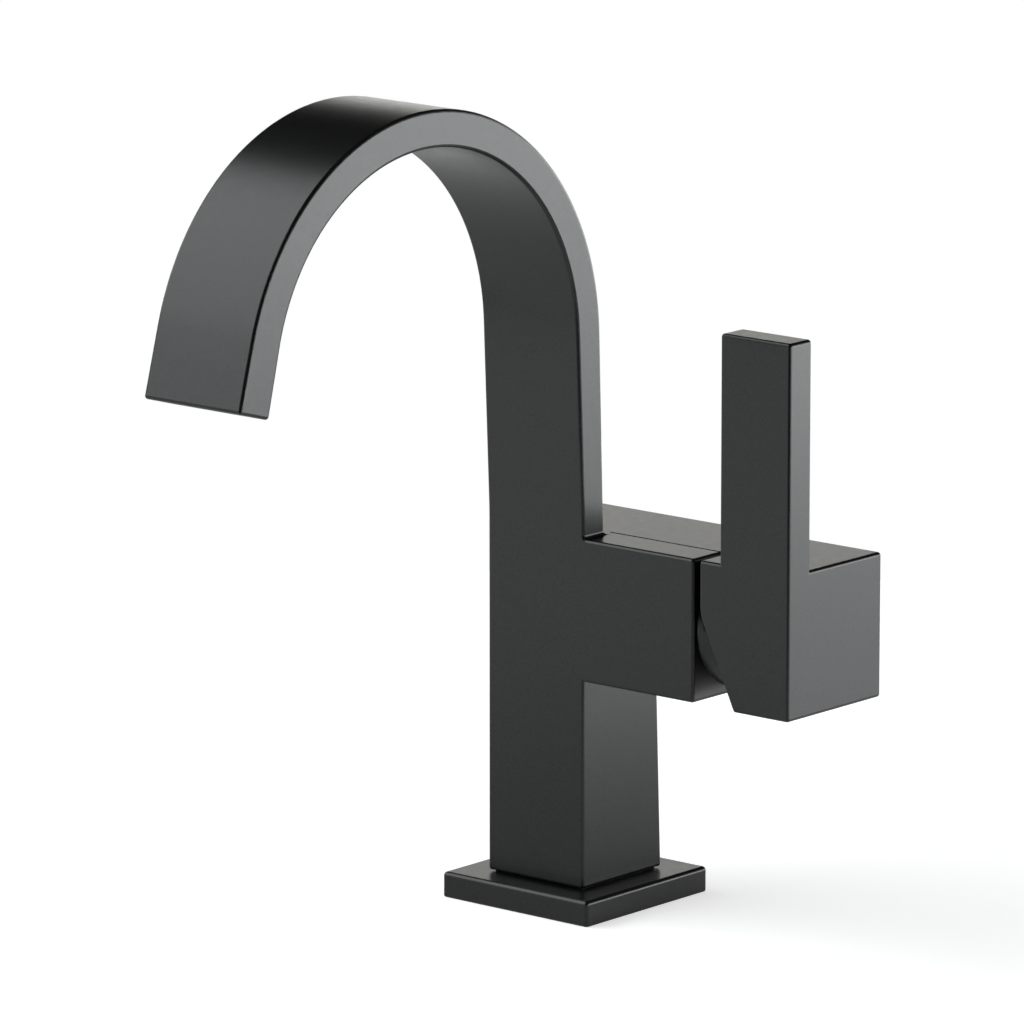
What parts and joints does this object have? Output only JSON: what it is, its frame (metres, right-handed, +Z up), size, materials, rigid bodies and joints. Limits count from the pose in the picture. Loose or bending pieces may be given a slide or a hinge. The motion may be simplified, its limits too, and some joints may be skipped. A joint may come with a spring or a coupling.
{
  "type": "bathroom mixer faucet",
  "caption": "Square single-handle basin mixer with a flat arched ribbon spout, a side joystick lever on a square hub, and a square base plate.",
  "frame": {"origin": "on the deck, at the middle of the square base plate, where the body's foot meets the deck", "axes": "+Z up, -Y towards the user along the spout, +X towards the handle"},
  "size_m": [0.1109, 0.1759, 0.2248],
  "materials": {
    "black_finish": "satin black coat over cast brass, with a fine even texture",
    "dome_finish": "satin black coat, a little darker",
    "black_rubber": "moulded rubber",
    "foam_rubber": "closed-cell foam",
    "black_plastic": "moulded, fine grain",
    "grey_plastic": "moulded acetal",
    "white_plastic": "moulded acetal",
    "clear_plastic": "natural cross-linked plastic",
    "red_plastic": "moulded",
    "ceramic": "lapped ceramic",
    "brass": "machined",
    "steel": "turned stainless steel"
  },
  "bodies": {
    "body": {"faucet_body": "black_finish", "waterway_liner": "clear_plastic", "base_plate": "black_finish", "base_gasket": "foam_rubber", "neck_seal": "black_rubber", "outlet_frame": "black_plastic", "flow_straightener": "grey_plastic", "flow_restrictor": "grey_plastic", "outlet_seal": "black_rubber", "cartridge_base": "white_plastic", "base_port_seals": "black_rubber", "disc_port_seals": "black_rubber", "cartridge_shell": "white_plastic", "fixed_disc": "ceramic", "slide_washer": "clear_plastic", "temperature_stop": "red_plastic", "cartridge_nut": "brass", "dome": "dome_finish", "dome_ring": "black_rubber"},
    "rotor": {"rotor": "grey_plastic", "rotor_ring": "black_rubber", "stem_pin": "steel"},
    "handle": {"cartridge_stem": "brass", "handle": "black_finish", "handle_adapter": "grey_plastic", "set_screw": "steel", "screw_plug": "black_plastic"},
    "discs": {"moving_disc": "ceramic", "disc_carrier": "grey_plastic"}
  },
  "joints": [
    {"name": "temperature", "type": "hinge", "parent": "body", "child": "rotor", "pos_m": [0.048, 0.00305, 0.0832], "axis": [1, 0, 0], "range_deg": [-50, 50]},
    {"name": "flow", "type": "hinge", "parent": "rotor", "child": "handle", "pos_m": [0.048, 0.00305, 0.0832], "axis": [0, 1, 0], "range_deg": [0, 24]},
    {"name": "disc_slide", "type": "slide", "parent": "rotor", "child": "discs", "axis": [0, 0, 1], "range_m": [0, 0.0033]}
  ],
  "couplings": [
    {"joint": "disc_slide", "follows": "flow", "m_per_rad": 0.007768}
  ]
}
